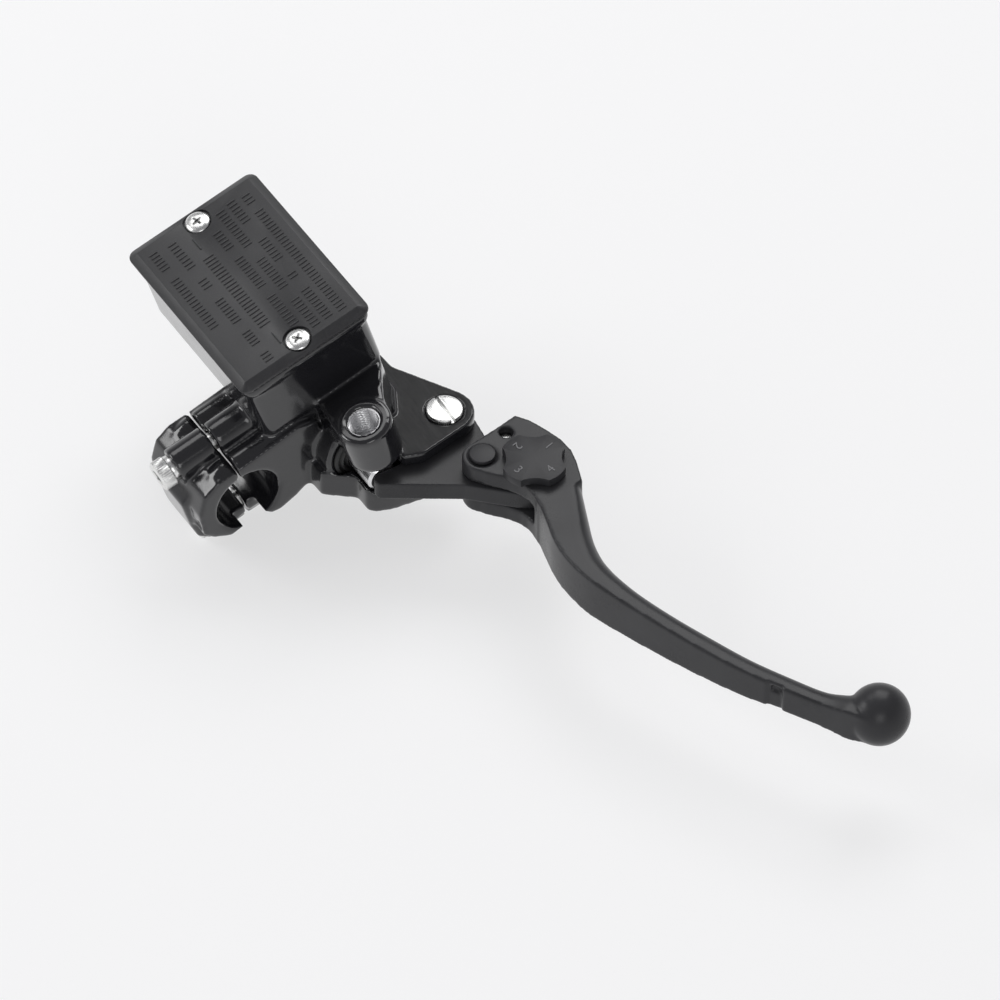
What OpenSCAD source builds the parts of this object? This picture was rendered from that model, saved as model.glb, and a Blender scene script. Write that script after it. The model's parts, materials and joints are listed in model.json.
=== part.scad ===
// Motorcycle front brake master cylinder with an adjustable lever.
// Frame: origin at the centre of the handlebar bore, +X along the bar towards
// the lever tip, +Y away from the rider, +Z along the lever pivot.

/* [Handlebar clamp] */
// Diameter of the handlebar that the clamp grips
bar_d = 22.2; // [22.0:0.1:22.6]
// Width of the clamp along the bar
clamp_w = 30; // [26:1:34]
// Height of the clamp screws above and below the bar axis
clamp_screw_z = 15.6; // [15.4:0.1:16.4]

/* [Fluid reservoir] */
// Tilt of the reservoir and clamp about the bar, against the lever plane
reservoir_tilt = 15; // [12:1:18]
// Length of the reservoir cap along the bar
cap_l = 70; // [68:1:72]
// Width of the reservoir cap
cap_w = 47.5; // [46:0.5:49]
// Distance between the two cap screws
cap_screw_pitch = 59; // [58:0.5:60]

/* [Hydraulic cylinder] */
// Bore of the cylinder
bore_d = 14; // [12.7:0.1:14.5]
// Outer diameter of the cylinder barrel
barrel_d = 24; // [23:0.5:26]

/* [Lever] */
// Thickness of the knocker between the two ears
knocker_t = 6.6; // [6:0.1:6.8]
// Diameter of the reach adjuster dial
dial_d = 21; // [19:0.5:22]
// Diameter of the ball at the end of the lever
ball_d = 19.2; // [18:0.2:20]

/* [Mirror boss] */
// Outer diameter of the mirror boss
mirror_boss_d = 17.7; // [16:0.1:19]
// Tapping diameter of the M10 mirror thread
mirror_hole_d = 8.8; // [8.6:0.1:9]

/* [Hidden] */
$fn = 64;

slack = 0.04;           // radial gap of a running or plain fit
eps = 0.01;
bar_r = bar_d / 2;
half_w = clamp_w / 2;

// Plan positions in the lever plane
pivot = [28.6, 62.8];
pin = [51.6, 62.0];
dial = [63.4, 73.2];
nose = [38.4, 34.2];
stop = [47.2, 73.4];

// Heights in the lever plane
knocker_z = 8;
knock_z0 = knocker_z - knocker_t / 2;
knock_z1 = knocker_z + knocker_t / 2;
slot_z0 = knock_z0 - 0.3;
slot_z1 = knock_z1 + 0.3;
ear_top = slot_z1 + 5;
ear_bottom = -5.5;
fork_top = slot_z1 + 6;
fork_bottom = slot_z0 - 6;
ear_r = 9.3;

// Cylinder barrel along X
barrel_y = 36;
barrel_z = 8;
barrel_r = barrel_d / 2;
barrel_x0 = -46;
mouth_x = 22.5;
bore_r = bore_d / 2;
bore_x0 = -38;
seat_r = 9.05;
seat_x = 15.2;

// Reservoir, in the tilted frame
cap_x1 = 14;
cap_x0 = cap_x1 - cap_l;
cap_y0 = 12;
cap_y1 = cap_y0 + cap_w;
cap_mid = [(cap_x0 + cap_x1) / 2, (cap_y0 + cap_y1) / 2];
floor_z = 17.5;
floor_top = floor_z + 3;
rim_z = 42.6;
gasket_t = 0.8;
cap_z0 = rim_z + gasket_t;
bevel_z0 = cap_z0 + 1;
cap_top = bevel_z0 + 1.6;
bevel_w = 2.8;
cap_screw_x = [cap_mid.x - cap_screw_pitch / 2, cap_mid.x + cap_screw_pitch / 2];
screw_r = 2;

// Mirror boss, in the tilted frame
boss = [31.3, 39.1];
boss_r = mirror_boss_d / 2;
boss_top = 23;
boss_bottom = 5.4;

// Clamp screws
clamp_screw_r = 3;
clamp_boss_r = 6;
clamp_head_r = 5;
clamp_head_h = 6;
// Seats of the two screw heads: the lower one is sunk in its lug
top_seat_y = -14;
low_seat_y = -10;

// Reach cam under the dial: its radius grows from cam_r0 by cam_rise over cam_turn
cam_r0 = 3.95;
cam_rise = 1.2;
cam_turn = 225;
cam_face = -46;         // direction from the dial to the knocker's tail

module tilted() rotate([reservoir_tilt, 0, 0]) children();

// Prism along X: the outline is drawn in (y, z)
module along_x(x0, x1) translate([x0, 0, 0]) rotate([90, 0, 90])
    linear_extrude(x1 - x0) children();

// Prism along Y: the outline is drawn in (x, z)
module along_y(y0, y1) translate([0, y1, 0]) rotate([90, 0, 0])
    linear_extrude(y1 - y0) children();

module rod_x(x0, x1, y, z, r) translate([x0, y, z]) rotate([0, 90, 0])
    cylinder(r = r, h = x1 - x0);

module rod_y(y0, y1, x, z, r) translate([x, y1, z]) rotate([90, 0, 0])
    cylinder(r = r, h = y1 - y0);

module rod_z(z0, z1, p, r) translate([p.x, p.y, z0]) cylinder(r = r, h = z1 - z0);

module block(lo, hi) translate(lo) cube(hi - lo);

module rounded_rect(x0, x1, y0, y1, r) {
    translate([x0 + r, y0]) square([x1 - x0 - 2 * r, y1 - y0]);
    translate([x0, y0 + r]) square([x1 - x0, y1 - y0 - 2 * r]);
    for (x = [x0 + r, x1 - r], y = [y0 + r, y1 - r]) translate([x, y]) circle(r);
}

module rounded_box(x0, x1, y0, y1, z0, z1, r) translate([0, 0, z0])
    linear_extrude(z1 - z0) rounded_rect(x0, x1, y0, y1, r);

// ---- casting ----

module saddle() {
    along_x(-half_w, half_w) polygon([[0.6, 15.3], [24, 16.3], [30, 14], [30, -6],
        [20.1, -10.4], [14.9, -12.6], [8, -14], [5, -13], [3, -10], [0.6, 0]]);
    rod_y(0.6, 18, 0, clamp_screw_z, clamp_boss_r);
    rod_y(0.6, 15, 0, -clamp_screw_z, clamp_boss_r);
    block([-7, 0.6, -clamp_screw_z], [7, 14, -9]);
    // lugs that fair the saddle into the screw boss
    along_x(-7, 7) polygon([[8, -10], [20.1, -10.4], [14, -16], [0.6, -16], [0.6, -12]]);
}

module reservoir_floor() {
    rounded_box(cap_x0 + 1.5, cap_x1 - 1.2, cap_y0 + 1.5, cap_y1 - 1.5, floor_z, floor_top, 4);
    block([-50, 17, -2], [12, 50, floor_z + 1]);
}

module bowl_outside() {
    rounded_box(cap_x0 + 1.5, cap_x1 - 1.2, cap_y0 + 1.5, cap_y1 - 1.5, floor_top, 41, 4);
    rounded_box(cap_x0 + 0.5, cap_x1 - 0.5, cap_y0 + 0.5, cap_y1 - 0.5, 39.2, rim_z, 3.5);
}

module mirror_arm() {
    intersection() {
        along_y(30, 57) polygon([[8, 19.3], [13, 19.3], [22.8, 21.8], [31.3, 21.8],
            [31.3, 8.2], [21.9, 8.2], [21.9, -2], [8, -2]]);
        translate([0, 0, -5]) linear_extrude(40) polygon([[8, 32.4], [14, 32.4],
            [boss.x, boss.y - boss_r], [boss.x, boss.y + boss_r], [27, 49], [13, 56.4], [8, 56.4]]);
    }
    translate([boss.x, boss.y, boss_bottom + 2]) cylinder(r = boss_r, h = boss_top - boss_bottom - 2.6);
    translate([boss.x, boss.y, boss_top - 0.6 - eps]) cylinder(r1 = boss_r, r2 = boss_r - 0.6, h = 0.6);
    translate([boss.x, boss.y, boss_bottom]) cylinder(r1 = boss_r - 2, r2 = boss_r, h = 2 + eps);
}

module upper_ear() {
    translate([0, 0, slot_z1]) linear_extrude(ear_top - slot_z1) {
        polygon([[-14, 44], [-14, 58], [4, 59.3], [24, 70.9], [31, 72], [37.7, 64.5],
            [40.6, 48], [38.3, 41.7], [18, 40]]);
        translate(pivot) circle(ear_r);
    }
}

module lower_ear() {
    translate([0, 0, ear_bottom]) linear_extrude(slot_z0 - ear_bottom) {
        polygon([[2, 22], [21.3, 22.4], [28.4, 31], [34.2, 30.8], [36.6, 33], [38.4, 38],
            [39.8, 48], [37.7, 64.5], [31, 72], [24, 70.9], [4, 59.3], [-14, 58], [-14, 44]]);
        translate(pivot) circle(ear_r);
    }
}

module barrel_solid() {
    rod_x(barrel_x0, mouth_x, barrel_y, barrel_z, barrel_r);
    rod_x(barrel_x0 - 8, barrel_x0 + 1, barrel_y, barrel_z, 9);
    // web that carries both ears
    block([-14, 38, ear_bottom], [17, 49.6, ear_top]);
    along_x(-14, 15) polygon([[18, -5.5], [44, -5.5], [44, 8], [18, 10]]);
}

module barrel_bores() {
    rod_x(bore_x0, seat_x + eps, barrel_y, barrel_z, bore_r);
    rod_x(seat_x, mouth_x + 1, barrel_y, barrel_z, seat_r);
    rod_x(16.35, 17.35, barrel_y, barrel_z, 9.6);
    rod_x(barrel_x0 - 9, barrel_x0 + 5, barrel_y, barrel_z, mirror_hole_d / 2);
    rod_x(barrel_x0 + 4, bore_x0 + 1, barrel_y, barrel_z, 1.5);
    // supply and compensating ports from the reservoir floor
    tilted() {
        rod_z(0, floor_z + 5, [-2, 36.8], 2);
        rod_z(0, floor_z + 5, [-15.5, 36.8], 0.5);
    }
}

module knocker_slot() translate([0, 0, slot_z0]) linear_extrude(slot_z1 - slot_z0)
    polygon([[22.9, 24], [22.9, 49.7], [-15, 49.7], [-15, 75], [45, 75], [45, 24]]);

module cylinder_body() color([0.10, 0.10, 0.11]) difference() {
    union() {
        tilted() {
            saddle();
            reservoir_floor();
            mirror_arm();
        }
        upper_ear();
        lower_ear();
        barrel_solid();
    }
    // handlebar bore and split faces
    rod_x(-half_w - 1, half_w + 1, 0, 0, bar_r);
    tilted() {
        // clamp screw threads
        rod_y(0, 15, 0, clamp_screw_z, clamp_screw_r + slack);
        rod_y(0, 14, 0, -clamp_screw_z, clamp_screw_r + slack);
        bowl_outside();
        // mirror thread
        rod_z(boss_bottom - 1, boss_top + 1, boss, mirror_hole_d / 2);
        translate([boss.x, boss.y, boss_top - 0.8]) cylinder(r1 = mirror_hole_d / 2, r2 = 5.4, h = 1);
    }
    knocker_slot();
    barrel_bores();
    // piston and boot run over the lower ear
    rod_x(mouth_x - eps, 24.4, barrel_y, barrel_z, 10.2);
    rod_x(mouth_x - eps, 45, barrel_y, barrel_z, 6);
    // lever pivot
    rod_z(ear_top - 1.8, ear_top + 1, pivot, 6);
    rod_z(slot_z1 - 1, ear_top, pivot, 4 + slack);
    rod_z(ear_bottom - 1, slot_z0 + 1, pivot, 3 + slack);
    // brake switch screw
    rod_z(slot_z1 - 1, slot_z1 + 6, [-4, 55], 1.5 + slack);
    block([-15, 49.7, ear_bottom - 1], [3, 61, slot_z0 + 1]);
}

// Walls of the same casting above the reservoir's floor
module reservoir_bowl() color([0.10, 0.10, 0.11]) tilted() difference() {
    bowl_outside();
    // fluid space, leaving posts for the cap screws
    difference() {
        rounded_box(cap_x0 + 4.5, cap_x1 - 4.2, cap_y0 + 4.5, cap_y1 - 4.5, floor_z, rim_z + 1, 3);
        for (x = cap_screw_x) rod_z(floor_z - 1, rim_z + 2, [x, cap_mid.y], 4.5);
    }
    for (x = cap_screw_x) rod_z(30, rim_z + 1, [x, cap_mid.y], screw_r + slack);
}

module clamp_cap() color([0.10, 0.10, 0.11]) tilted() difference() {
    union() {
        along_x(-half_w, half_w) polygon([[-0.6, 15.3], [-7, 15.3], [-12.6, 12.8], [-16.2, 6.5],
            [-17.3, -2.8], [-14.8, -6.6], [-9.4, -10.9], [-4.4, -10.4], [-4.4, -8], [-0.6, 0]]);
        rod_y(top_seat_y, -0.6, 0, clamp_screw_z, clamp_boss_r);
        rod_y(low_seat_y, -0.4, 0, -clamp_screw_z, clamp_boss_r);
        // middle rib between the screws, and the lug that the lower screw is sunk in
        along_x(-8, 8) polygon([[-0.4, -11], [-0.4, -14.5], [-9, -16.5], [-14, -15.5],
            [-17.5, -11.5], [-18.4, -5], [-18.4, 7], [-14, 10.2], [-12, 6]]);
    }
    rod_x(-half_w - 1, half_w + 1, 0, 0, bar_r);
    for (s = [-1, 1]) rod_y(-15, 0, 0, s * clamp_screw_z, clamp_screw_r + 0.2);
    rod_y(-20, low_seat_y, 0, -clamp_screw_z, clamp_head_r + 0.4);
    // recessed panels each side of the middle rib
    for (s = [-1, 1]) translate([s * 11.5, -17.6, 1]) rotate([6, 0, 0])
        cube([4, 2.4, 7], center = true);
}

module clamp_bolt(z, seat_y) difference() {
    union() {
        rod_y(seat_y - clamp_head_h, seat_y, 0, z, clamp_head_r);
        rod_y(seat_y - eps, 13, 0, z, clamp_screw_r);
    }
    translate([0, seat_y - clamp_head_h + 3.1, z]) rotate([90, 0, 0])
        cylinder(r = 2.9, h = 4, $fn = 6);
}

module clamp_bolts() color("silver") tilted() {
    clamp_bolt(clamp_screw_z, top_seat_y);
    clamp_bolt(-clamp_screw_z, low_seat_y);
}

// ---- reservoir closure ----

module reservoir_cap() color([0.13, 0.13, 0.14]) tilted() difference() {
    intersection() {
        rounded_box(cap_x0, cap_x1, cap_y0, cap_y1, cap_z0, cap_top, 3);
        along_x(cap_x0 - 1, cap_x1 + 1) polygon([[cap_y0, cap_z0], [cap_y1, cap_z0],
            [cap_y1, bevel_z0], [cap_y1 - bevel_w, cap_top], [cap_y0 + bevel_w, cap_top],
            [cap_y0, bevel_z0]]);
        along_y(cap_y0 - 1, cap_y1 + 1) polygon([[cap_x0, cap_z0], [cap_x1, cap_z0],
            [cap_x1, bevel_z0], [cap_x1 - bevel_w, cap_top], [cap_x0 + bevel_w, cap_top],
            [cap_x0, bevel_z0]]);
    }
    rounded_box(cap_x0 + 3.6, cap_x1 - 3.6, cap_y0 + 3.6, cap_y1 - 3.6, cap_z0 - 1, cap_z0 + 0.8, 3);
    for (x = cap_screw_x) {
        rod_z(cap_z0 - 1, cap_top + 1, [x, cap_mid.y], screw_r + 0.2);
        rod_z(cap_top - 1.2, cap_top + 1, [x, cap_mid.y], 4.6);
    }
}

module diaphragm_plate() color([0.75, 0.75, 0.72]) tilted() difference() {
    rounded_box(cap_x0 + 3.8, cap_x1 - 3.8, cap_y0 + 3.8, cap_y1 - 3.8, cap_z0, cap_z0 + 0.7, 2.8);
    for (x = cap_screw_x) rod_z(cap_z0 - 1, cap_z0 + 2, [x, cap_mid.y], screw_r + 0.3);
    rod_z(cap_z0 - 1, cap_z0 + 2, cap_mid, 3);
}

module diaphragm() color([0.06, 0.06, 0.06]) tilted() difference() {
    union() {
        rounded_box(cap_x0 + 1, cap_x1 - 1, cap_y0 + 1, cap_y1 - 1, rim_z, cap_z0, 3);
        rounded_box(cap_x0 + 12, cap_x1 - 12, cap_y0 + 5.5, cap_y1 - 5.5, rim_z - 9, rim_z + eps, 3);
    }
    rounded_box(cap_x0 + 13.2, cap_x1 - 13.2, cap_y0 + 6.7, cap_y1 - 6.7, rim_z - 7.8, cap_z0 + 1, 2);
    for (x = cap_screw_x) rod_z(rim_z - 1, cap_z0 + 1, [x, cap_mid.y], screw_r + 0.2);
}

module cap_screw(x) difference() {
    union() {
        rod_z(32, cap_top - 1.1, [x, cap_mid.y], screw_r);
        translate([x, cap_mid.y, cap_top - 1.2]) cylinder(r = 4, h = 0.7);
        translate([x, cap_mid.y, cap_top - 0.5 - eps]) cylinder(r1 = 4, r2 = 3.2, h = 0.4);
    }
    for (a = [0, 90]) translate([x, cap_mid.y, cap_top]) rotate([0, 0, a])
        cube([3.6, 0.9, 2], center = true);
}

module cap_screws() color("silver") tilted() for (x = cap_screw_x) cap_screw(x);

module port_baffle() color("silver") tilted() difference() {
    rounded_box(-24, 3, 30, 43.6, floor_z + 3, floor_z + 3.8, 2);
    for (x = [-20, -1], y = [33, 40.6]) rod_z(floor_z, floor_z + 6, [x, y], 1);
}

// ---- hydraulics ----

// A turned part on the cylinder axis: points are (distance along the axis, radius)
module turned(points) translate([0, barrel_y, barrel_z]) rotate([0, 90, 0])
    rotate_extrude() polygon([for (p = points) [p[1], p[0]]]);

piston_r = bore_r - slack;
piston_end = 35.6;

module piston() color([0.72, 0.72, 0.74])
    turned([[-12.8, 0], [-12.8, 2.6], [-10, 2.6], [-10, piston_r], [-7.5, piston_r], [-7.5, 4],
        [4.5, 4], [4.5, 6], [5.5, 6], [5.5, 4.4], [9, 4.4], [9, piston_r], [14.8, piston_r],
        [14.8, 5], [piston_end - 0.8, 5], [piston_end, 4.2], [piston_end, 0]]);

module primary_cup() color([0.05, 0.05, 0.05])
    turned([[-13.6, 3.9], [-13.6, 5.2], [-15, 5.6], [-15, piston_r], [-10.1, piston_r - 0.4],
        [-10.1, 2.7], [-12.9, 2.7], [-12.9, 3.9]]);

module secondary_cup() color([0.05, 0.05, 0.05])
    turned([[5.6, 4.5], [5.6, 5.6], [6.6, 6], [6.6, 6.2], [5.7, 6.4], [5.7, piston_r],
        [8.9, piston_r - 0.3], [8.9, 4.5]]);

// Helical wire as one closed tube round the X axis
function spring_point(t, a, coil_r, wire_r, x0, pitch) =
    let (r = coil_r + wire_r * cos(a))
    [x0 + pitch * t / 360 + wire_r * sin(a), barrel_y + r * cos(t), barrel_z + r * sin(t)];

module spring_x(x0, x1, coil_r, wire_r, turns) {
    sides = 8;
    steps = turns * 14;
    pitch = (x1 - x0 - 2 * wire_r) / turns;
    points = [for (i = [0 : steps], j = [0 : sides - 1])
        spring_point(i * 360 * turns / steps, j * 360 / sides, coil_r, wire_r, x0 + wire_r, pitch)];
    walls = [for (i = [0 : steps - 1], j = [0 : sides - 1])
        let (k = (j + 1) % sides)
        [i * sides + j, i * sides + k, (i + 1) * sides + k, (i + 1) * sides + j]];
    ends = [[for (j = [sides - 1 : -1 : 0]) j], [for (j = [0 : sides - 1]) steps * sides + j]];
    polyhedron(points, concat(walls, ends));
}

module return_spring() color("silver") spring_x(bore_x0 + 0.1, -15.1, 4.6, 0.6, 6);

module stop_washer() color("silver") difference() {
    rod_x(seat_x + 0.1, 16.3, barrel_y, barrel_z, seat_r - slack);
    rod_x(seat_x, 17, barrel_y, barrel_z, 5.3);
}

module circlip() color([0.3, 0.3, 0.32]) difference() {
    rod_x(16.4, 17.3, barrel_y, barrel_z, 9.5);
    rod_x(16, 18, barrel_y, barrel_z, 7.6);
    block([16, barrel_y - 2.5, barrel_z - 12], [18, barrel_y + 2.5, barrel_z - 4]);
}

module dust_boot() color([0.05, 0.05, 0.05])
    turned([[17.6, 5.6], [17.6, seat_r - slack], [mouth_x, seat_r - slack], [mouth_x, 9.6],
        [23.6, 9.6], [23.6, 8.2], [22.6, 7.6], [24, 7], [24, 5.5], [23, 5.3], [21.4, 5.6]]);

// ---- lever ----

module pivot_bolt() color("silver") difference() {
    union() {
        rod_z(ear_top - 1.8, ear_top + 0.4, pivot, 5.7);
        translate([pivot.x, pivot.y, ear_top + 0.4 - eps]) cylinder(r1 = 5.7, r2 = 5.1, h = 0.6);
        rod_z(slot_z0 + 0.1, ear_top - 1.7, pivot, 4);
        rod_z(ear_bottom - 6.4, slot_z0 + 0.2, pivot, 3);
    }
    translate([pivot.x, pivot.y, ear_top + 1]) rotate([0, 0, -3]) cube([14, 1.1, 2], center = true);
}

module pivot_nut() color("silver") difference() {
    translate([pivot.x, pivot.y, ear_bottom - 5]) cylinder(r = 5.77, h = 5, $fn = 6);
    rod_z(ear_bottom - 6, ear_bottom + 1, pivot, 3 + slack);
}

module knocker() color([0.16, 0.16, 0.17]) difference() {
    union() {
        translate([0, 0, knock_z0]) linear_extrude(knocker_t) polygon([[28.6, 71.8], [51.8, 68.6],
            [57, 66], [60.5, 64.9], [67.55, 71.65], [69, 69.6], [66.4, 65.8], [54.3, 53.8],
            [40.7, 32.9], [38, 31.6], [36, 34.2], [36, 42], [22.5, 56.2], [19.6, 62.8]]);
        rod_z(knock_z0, knock_z1, pivot, 9);
        rod_z(knock_z0, knock_z1, pin, 6.6);
        rod_z(knock_z0, knock_z1, nose, 2.7);
        // lug that works the brake light switch
        rod_z(knock_z0, knock_z1, [21.3, 57.1], 2);
    }
    rod_z(0, 16, pivot, 4 + slack);
    rod_z(0, 16, pin, 3 + slack);
}

blade_rear = [[54, 56.6], [58.4, 59], [63.5, 63.4], [67.4, 65.6], [71, 66.6], [75, 66.3],
    [84, 64.2], [92, 62.2], [98, 61.5], [105, 61.7], [113, 63.1], [125, 66.8], [141, 72.5],
    [151, 76.4], [164, 82.1], [174, 87.5], [189, 96.1], [197, 100.9]];
blade_front = [[189, 105], [185, 102.1], [176.6, 96.6], [162.7, 89.8], [142.3, 81.7],
    [131.8, 77.8], [120.5, 74.5], [111, 73], [101, 73], [91.5, 75.8], [77, 82.2], [69, 85.2],
    [64, 86.4], [59, 86.2], [53, 84.6], [47, 82.4], [42.6, 79.6], [44, 72], [45.6, 60.6]];
ball = [196.8, 110.4];

module blade_plan() {
    polygon(concat(blade_rear, blade_front));
    translate(pin) circle(6.3);
}

// Side outline of the lever in (x, z)
module blade_side() polygon([[40, fork_bottom], [76, fork_bottom], [95, 0], [113, 0], [141, 1.2],
    [175, 2.7], [205, 2.8], [205, 13.2], [175, 13.3], [141, 14.8], [113, 16], [95, 16.2],
    [76, fork_top], [40, fork_top]]);

module lever_blade() color([0.16, 0.16, 0.17]) difference() {
    union() {
        intersection() {
            translate([0, 0, -5]) linear_extrude(30) blade_plan();
            along_y(50, 120) blade_side();
        }
        translate([ball.x, ball.y, knocker_z]) sphere(d = ball_d);
    }
    // slot for the knocker
    translate([0, 0, slot_z0]) linear_extrude(slot_z1 - slot_z0)
        polygon([[40, 50], [74, 50], [74, 92], [40, 92]]);
    rod_z(fork_bottom - 1, fork_top + 1, pin, 3 + slack);
    rod_z(slot_z1 - 1, fork_top + 1, dial, 5.5 + slack);
    rod_z(fork_bottom - 1, slot_z0 + 1, dial, 3 + slack);
    rod_z(fork_bottom + 2, fork_top + 1, stop, 2.2);
    rod_z(slot_z1 + 1.4, fork_top + 1, [dial.x - 7.9, dial.y], 1.6);
    // break-away notch on the rider's side
    translate([174.5, 87.2, knocker_z]) rotate([0, 0, 30]) cube([4.5, 1.8, 20], center = true);
}

module lever_pin() color([0.16, 0.16, 0.17]) difference() {
    union() {
        rod_z(fork_top + 0.02, fork_top + 1.1, pin, 4);
        rod_z(fork_bottom - 2.4, fork_top + 0.1, pin, 3);
    }
    difference() {
        rod_z(fork_bottom - 1.3, fork_bottom - 0.4, pin, 4);
        rod_z(fork_bottom - 2, fork_bottom, pin, 2.3);
    }
}

module retaining_clip(p, inner_r) color([0.3, 0.3, 0.32]) difference() {
    rod_z(fork_bottom - 1.25, fork_bottom - 0.45, p, 4.8);
    rod_z(fork_bottom - 2, fork_bottom, p, inner_r + 0.05);
    block([p.x - 1.6, p.y - 6, fork_bottom - 2], [p.x + 1.6, p.y, fork_bottom]);
}

module lever_pin_clip() retaining_clip(pin, 2.3);

module dial_clip() retaining_clip(dial, 2.3);

module stop_pin() color("silver") rod_z(fork_bottom + 2.1, fork_top - 1.5, stop, 2.16);

function cam_r(t) = t <= cam_turn ? cam_r0 + cam_rise * t / cam_turn
    : cam_r0 + cam_rise * (360 - t) / (360 - cam_turn);

module dial_disc() linear_extrude(2.9) difference() {
    circle(d = dial_d);
    for (a = [-121 : 90 : 149]) rotate([0, 0, a]) translate([17.5, 0]) circle(9);
}

module adjuster_dial() color([0.16, 0.16, 0.17]) difference() {
    union() {
        translate([dial.x, dial.y, fork_top + 0.4]) dial_disc();
        rod_z(knock_z1 + 0.1, fork_top + 0.5, dial, 5.5);
        translate([dial.x, dial.y, knock_z0 + 0.2]) linear_extrude(knocker_t)
            polygon([for (t = [0 : 5 : 355]) cam_r(t) * [cos(cam_face - t), sin(cam_face - t)]]);
        rod_z(fork_bottom - 2.4, knock_z0 + 0.3, dial, 3);
    }
    difference() {
        rod_z(fork_bottom - 1.3, fork_bottom - 0.4, dial, 4);
        rod_z(fork_bottom - 2, fork_bottom, dial, 2.3);
    }
}

module detent_ball() color("silver")
    translate([dial.x - 7.9, dial.y, fork_top - 1.25]) sphere(r = 1.5);

module detent_spring() color("silver") difference() {
    rod_z(slot_z1 + 1.5, fork_top - 2.8, [dial.x - 7.9, dial.y], 1.5);
    rod_z(slot_z1 + 1, fork_top, [dial.x - 7.9, dial.y], 1.0);
}

// ---- brake light switch ----

module brake_switch() color([0.08, 0.08, 0.08]) difference() {
    union() {
        block([-11, 50, slot_z0 + 0.2], [16.5, 60, slot_z1 - 0.2]);
        block([-9, 50.5, slot_z0 - 3], [1, 59.5, slot_z0 + 1]);
    }
    rod_x(10, 18, 57.6, knocker_z, 2 + slack);
    rod_z(-5, 15, [-4, 55], 1.7);
    for (y = [52.4, 57.2]) block([-12, y, knocker_z - 0.5], [-6, y + 1, knocker_z + 0.5]);
}

module switch_plunger() color([0.85, 0.85, 0.82]) {
    rod_x(11.6, 18.5, 57.6, knocker_z, 2);
    translate([18.5 - eps, 57.6, knocker_z]) rotate([0, 90, 0]) cylinder(r1 = 2, r2 = 1.4, h = 0.6);
}

module switch_terminals() color([0.8, 0.65, 0.3])
    for (y = [52.4, 57.2]) block([-17, y + 0.1, knocker_z - 0.4], [-6.2, y + 0.9, knocker_z + 0.4]);

module switch_screw() color("silver") difference() {
    union() {
        rod_z(slot_z0 - 5, slot_z0 - 3.05, [-4, 55], 3);
        rod_z(slot_z0 - 3.2, slot_z1 + 4.5, [-4, 55], 1.5);
    }
    for (a = [0, 90]) translate([-4, 55, slot_z0 - 5]) rotate([0, 0, a])
        cube([3, 0.7, 1.6], center = true);
}

cylinder_body();
reservoir_bowl();
clamp_cap();
clamp_bolts();
reservoir_cap();
diaphragm_plate();
diaphragm();
cap_screws();
port_baffle();
piston();
primary_cup();
secondary_cup();
return_spring();
stop_washer();
circlip();
dust_boot();
pivot_bolt();
pivot_nut();
knocker();
lever_blade();
lever_pin();
lever_pin_clip();
stop_pin();
adjuster_dial();
dial_clip();
detent_ball();
detent_spring();
brake_switch();
switch_plunger();
switch_terminals();
switch_screw();
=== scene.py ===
"""Looks of the motorcycle brake master cylinder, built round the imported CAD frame."""

import json
import math

import bmesh
import bpy
import numpy as np
from mathutils import Matrix, Vector

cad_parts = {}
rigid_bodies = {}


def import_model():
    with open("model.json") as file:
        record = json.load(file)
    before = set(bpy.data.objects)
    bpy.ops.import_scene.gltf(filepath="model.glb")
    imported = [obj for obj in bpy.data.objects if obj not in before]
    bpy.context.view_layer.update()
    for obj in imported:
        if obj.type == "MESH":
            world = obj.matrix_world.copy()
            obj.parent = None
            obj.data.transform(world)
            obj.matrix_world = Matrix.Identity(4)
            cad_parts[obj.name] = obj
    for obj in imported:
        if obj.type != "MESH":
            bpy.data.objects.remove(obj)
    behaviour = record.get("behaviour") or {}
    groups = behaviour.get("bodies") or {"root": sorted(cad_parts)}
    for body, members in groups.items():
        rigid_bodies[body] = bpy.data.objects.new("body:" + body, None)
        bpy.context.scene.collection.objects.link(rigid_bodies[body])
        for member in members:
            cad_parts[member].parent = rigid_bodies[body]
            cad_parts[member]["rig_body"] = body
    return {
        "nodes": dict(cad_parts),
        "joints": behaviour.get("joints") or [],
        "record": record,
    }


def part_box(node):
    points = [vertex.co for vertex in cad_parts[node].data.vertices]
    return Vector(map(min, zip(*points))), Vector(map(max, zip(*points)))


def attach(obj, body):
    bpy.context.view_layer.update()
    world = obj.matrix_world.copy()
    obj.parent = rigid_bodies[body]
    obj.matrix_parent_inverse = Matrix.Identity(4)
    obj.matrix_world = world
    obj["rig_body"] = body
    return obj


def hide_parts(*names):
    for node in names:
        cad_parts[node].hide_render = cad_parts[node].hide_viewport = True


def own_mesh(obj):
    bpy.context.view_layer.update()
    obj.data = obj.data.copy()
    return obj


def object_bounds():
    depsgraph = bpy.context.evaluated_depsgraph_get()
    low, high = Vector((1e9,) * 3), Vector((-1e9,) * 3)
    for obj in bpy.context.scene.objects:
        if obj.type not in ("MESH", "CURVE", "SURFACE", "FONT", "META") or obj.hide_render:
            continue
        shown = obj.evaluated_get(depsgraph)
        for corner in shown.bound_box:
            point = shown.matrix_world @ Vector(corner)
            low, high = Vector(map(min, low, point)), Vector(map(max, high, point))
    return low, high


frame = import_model()
cad_box = [list(corner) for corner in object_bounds()]

MM = 0.001
record = frame["record"]
mounts = {m["name"]: m for m in record["mounts"]}
joints = {j["name"]: j for j in frame["joints"]}


def in_mm(point):
    return Vector(point) / MM


# The reservoir, clamp and mirror boss share a frame tilted about the handlebar
boss_axis = Vector(mounts["mirror_thread"]["axis"])
TILT = math.atan2(-boss_axis.y, boss_axis.z)
TILTED = Matrix.Rotation(TILT, 4, "X")
UPRIGHT = Matrix.Identity(4)

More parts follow.
